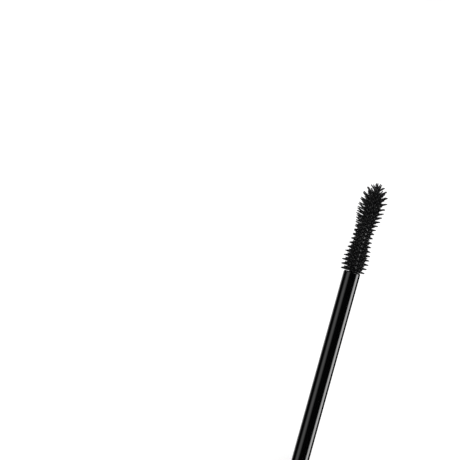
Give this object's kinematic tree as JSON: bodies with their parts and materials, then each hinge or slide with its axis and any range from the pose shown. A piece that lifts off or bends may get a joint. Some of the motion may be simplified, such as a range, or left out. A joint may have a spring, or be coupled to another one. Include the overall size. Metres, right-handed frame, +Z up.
{
  "type": "mascara with applicator",
  "caption": "Mascara lying open: octagonal cap with a slim stem and an hourglass moulded brush, and its tube with neck, wiper and quarter-turn closure.",
  "frame": {"origin": "centre of the cap's end face, on the common axis of cap, stem, brush and tube", "axes": "+X from the cap's end face along the stem to the brush and on to the tube's base; +Z up, away from the flat the cap and tube lie on"},
  "size_m": [0.29, 0.017, 0.017],
  "materials": {
    "cap_gloss": "glossy black moulded plastic",
    "stem_gloss": "glossy black moulded plastic",
    "brush_plastic": "satin black flexible plastic",
    "tube_satin": "satin black plastic",
    "inner_plastic": "plain black moulded plastic",
    "trim_metal": "dark polished metal",
    "weight_steel": "bare turned steel",
    "seal_foam": "off-white closed-cell foam",
    "wiper_rubber": "soft dark grey rubber",
    "paste": "wet black paste"
  },
  "bodies": {
    "applicator": {"cap_shell": "cap_gloss", "cap_end_disc": "trim_metal", "cap_collar": "trim_metal", "cap_weight": "weight_steel", "inner_cap": "inner_plastic", "stem": "stem_gloss", "brush": "brush_plastic"},
    "seal": {"seal_ring": "seal_foam"},
    "tube": {"tube_sleeve": "tube_satin", "shoulder_collar": "trim_metal", "vial": "inner_plastic", "wiper": "wiper_rubber", "mascara_fill": "paste", "base_plug": "inner_plastic", "base_disc": "trim_metal"}
  },
  "joints": [
    {"name": "tube_turn", "type": "hinge", "parent": "applicator", "child": "seal", "pos_m": [0.0375, 0, 0], "axis": [1, 0, 0], "range_deg": [-90, 0]},
    {"name": "tube_pull", "type": "slide", "parent": "seal", "child": "tube", "axis": [1, 0, 0], "range_m": [-0.1497, 0], "deforming": ["wiper"]}
  ]
}
